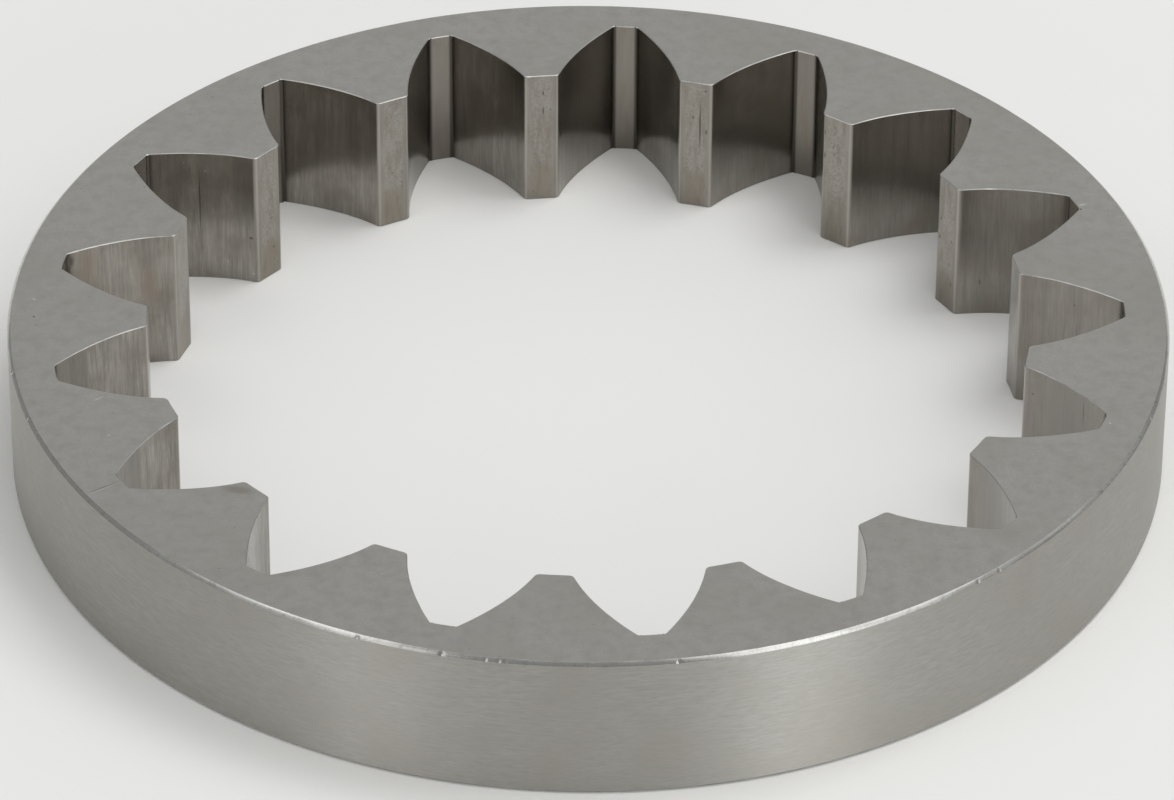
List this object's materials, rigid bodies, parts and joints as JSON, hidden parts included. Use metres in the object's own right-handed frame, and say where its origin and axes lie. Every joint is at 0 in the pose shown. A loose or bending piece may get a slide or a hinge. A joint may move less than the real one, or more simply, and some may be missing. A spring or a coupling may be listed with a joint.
{
  "type": "oil pump ring gear",
  "caption": "Flat steel ring gear with straight involute teeth on its inside, the outer gear of an internal-gear oil pump.",
  "frame": {"origin": "on the gear's axis, in the plane of the lower end face", "axes": "+Z along the gear's axis, up through the upper end face; a tooth space lies 1.51 degrees from +X"},
  "size_m": [0.0826, 0.0826, 0.011],
  "materials": {
    "steel": "bare steel, end faces and outside ground, teeth broached"
  },
  "bodies": {
    "root": {"ring_gear": "steel"}
  },
  "joints": []
}
